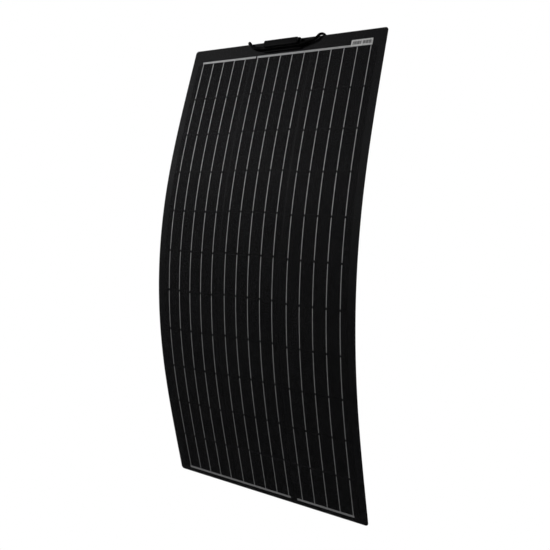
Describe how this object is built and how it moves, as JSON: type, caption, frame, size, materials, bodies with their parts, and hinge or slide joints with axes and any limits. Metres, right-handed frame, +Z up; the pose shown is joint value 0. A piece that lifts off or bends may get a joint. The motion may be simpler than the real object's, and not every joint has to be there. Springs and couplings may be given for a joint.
{
  "type": "flexible solar sheet",
  "caption": "Bowed flexible photovoltaic sheet with black cells in strings, a front junction box at the top edge and two hanging leads with connectors.",
  "frame": {"origin": "centre of the middle row's flat back face", "axes": "+Z up along the sheet's length, +X across its width to the viewer's right, -Y out of the sunny front, +Y out of the back"},
  "size_m": [0.514, 0.1713, 1.0756],
  "materials": {
    "back_sheet": "fine weave, matte black",
    "front_film": "embossed clear film over black",
    "cell": "textured dark silicon",
    "ribbon": "tinned copper",
    "label": "printed sticker",
    "pad": "foam tape",
    "box_plastic": "fine spark-eroded texture",
    "gasket": "silicone",
    "terminal": "tinned",
    "diode": "moulded epoxy",
    "boot": "soft moulded",
    "cable": "semi-matte jacket",
    "connector": "moulded polyamide"
  },
  "bodies": {
    "row_01": {"back_sheet_row_01": "back_sheet", "front_film_row_01": "front_film", "cells_row_01": "cell", "cell_ribbons_row_01": "ribbon", "top_bus_ribbons": "ribbon", "rating_label": "label", "box_adhesive_pad": "pad", "junction_box_base": "box_plastic", "lid_gasket": "gasket", "junction_box_lid": "box_plastic", "terminal_clips": "terminal", "bypass_diodes": "diode", "cable_boot_left": "boot", "cable_boot_right": "boot", "cable_left": "cable", "cable_right": "cable", "connector_gland_nuts": "connector", "lead_plug": "connector", "lead_socket": "connector"},
    "row_02": {"back_sheet_row_02": "back_sheet", "front_film_row_02": "front_film", "cells_row_02": "cell", "cell_ribbons_row_02": "ribbon"},
    "row_03": {"back_sheet_row_03": "back_sheet", "front_film_row_03": "front_film", "cells_row_03": "cell", "cell_ribbons_row_03": "ribbon"},
    "row_04": {"back_sheet_row_04": "back_sheet", "front_film_row_04": "front_film", "cells_row_04": "cell", "cell_ribbons_row_04": "ribbon"},
    "row_05": {"back_sheet_row_05": "back_sheet", "front_film_row_05": "front_film", "cells_row_05": "cell", "cell_ribbons_row_05": "ribbon"},
    "row_06": {"back_sheet_row_06": "back_sheet", "front_film_row_06": "front_film", "cells_row_06": "cell", "cell_ribbons_row_06": "ribbon"},
    "row_07": {"back_sheet_row_07": "back_sheet", "front_film_row_07": "front_film", "cells_row_07": "cell", "cell_ribbons_row_07": "ribbon"},
    "row_08": {"back_sheet_row_08": "back_sheet", "front_film_row_08": "front_film", "cells_row_08": "cell", "cell_ribbons_row_08": "ribbon"},
    "row_09": {"back_sheet_row_09": "back_sheet", "front_film_row_09": "front_film", "cells_row_09": "cell", "cell_ribbons_row_09": "ribbon"},
    "row_10": {"back_sheet_row_10": "back_sheet", "front_film_row_10": "front_film", "cells_row_10": "cell", "cell_ribbons_row_10": "ribbon"},
    "row_11": {"back_sheet_row_11": "back_sheet", "front_film_row_11": "front_film", "cells_row_11": "cell", "cell_ribbons_row_11": "ribbon", "bottom_bus_ribbons": "ribbon"}
  },
  "joints": [
    {"name": "bend_up_1", "type": "hinge", "parent": "row_06", "child": "row_05", "pos_m": [0, -0.00125, 0.0469], "axis": [1, 0, 0], "range_deg": [0, 5.5]},
    {"name": "bend_down_1", "type": "hinge", "parent": "row_06", "child": "row_07", "pos_m": [0, -0.00125, -0.0469], "axis": [-1, 0, 0], "range_deg": [0, 5.5]},
    {"name": "bend_up_2", "type": "hinge", "parent": "row_05", "child": "row_04", "pos_m": [0, 0.00774, 0.14027], "axis": [1, 0, 0], "range_deg": [0, 5]},
    {"name": "bend_down_2", "type": "hinge", "parent": "row_07", "child": "row_08", "pos_m": [0, 0.00774, -0.14027], "axis": [-1, 0, 0], "range_deg": [0, 5]},
    {"name": "bend_up_3", "type": "hinge", "parent": "row_04", "child": "row_03", "pos_m": [0, 0.02483, 0.2325], "axis": [1, 0, 0], "range_deg": [0, 3.9]},
    {"name": "bend_down_3", "type": "hinge", "parent": "row_08", "child": "row_09", "pos_m": [0, 0.02483, -0.2325], "axis": [-1, 0, 0], "range_deg": [0, 3.9]},
    {"name": "bend_up_4", "type": "hinge", "parent": "row_03", "child": "row_02", "pos_m": [0, 0.04816, 0.32335], "axis": [1, 0, 0], "range_deg": [0, 2.2]},
    {"name": "bend_down_4", "type": "hinge", "parent": "row_09", "child": "row_10", "pos_m": [0, 0.04816, -0.32335], "axis": [-1, 0, 0], "range_deg": [0, 2.2]},
    {"name": "bend_up_5", "type": "hinge", "parent": "row_02", "child": "row_01", "pos_m": [0, 0.07496, 0.41324], "axis": [1, 0, 0], "range_deg": [0, 0.8]},
    {"name": "bend_down_5", "type": "hinge", "parent": "row_10", "child": "row_11", "pos_m": [0, 0.07496, -0.41324], "axis": [-1, 0, 0], "range_deg": [0, 0.8]}
  ],
  "couplings": [
    {"joint": "bend_down_1", "follows": "bend_up_1", "ratio": 1},
    {"joint": "bend_up_2", "follows": "bend_up_1", "ratio": 0.90909},
    {"joint": "bend_down_2", "follows": "bend_up_1", "ratio": 0.90909},
    {"joint": "bend_up_3", "follows": "bend_up_1", "ratio": 0.70909},
    {"joint": "bend_down_3", "follows": "bend_up_1", "ratio": 0.70909},
    {"joint": "bend_up_4", "follows": "bend_up_1", "ratio": 0.4},
    {"joint": "bend_down_4", "follows": "bend_up_1", "ratio": 0.4},
    {"joint": "bend_up_5", "follows": "bend_up_1", "ratio": 0.14545},
    {"joint": "bend_down_5", "follows": "bend_up_1", "ratio": 0.14545}
  ]
}
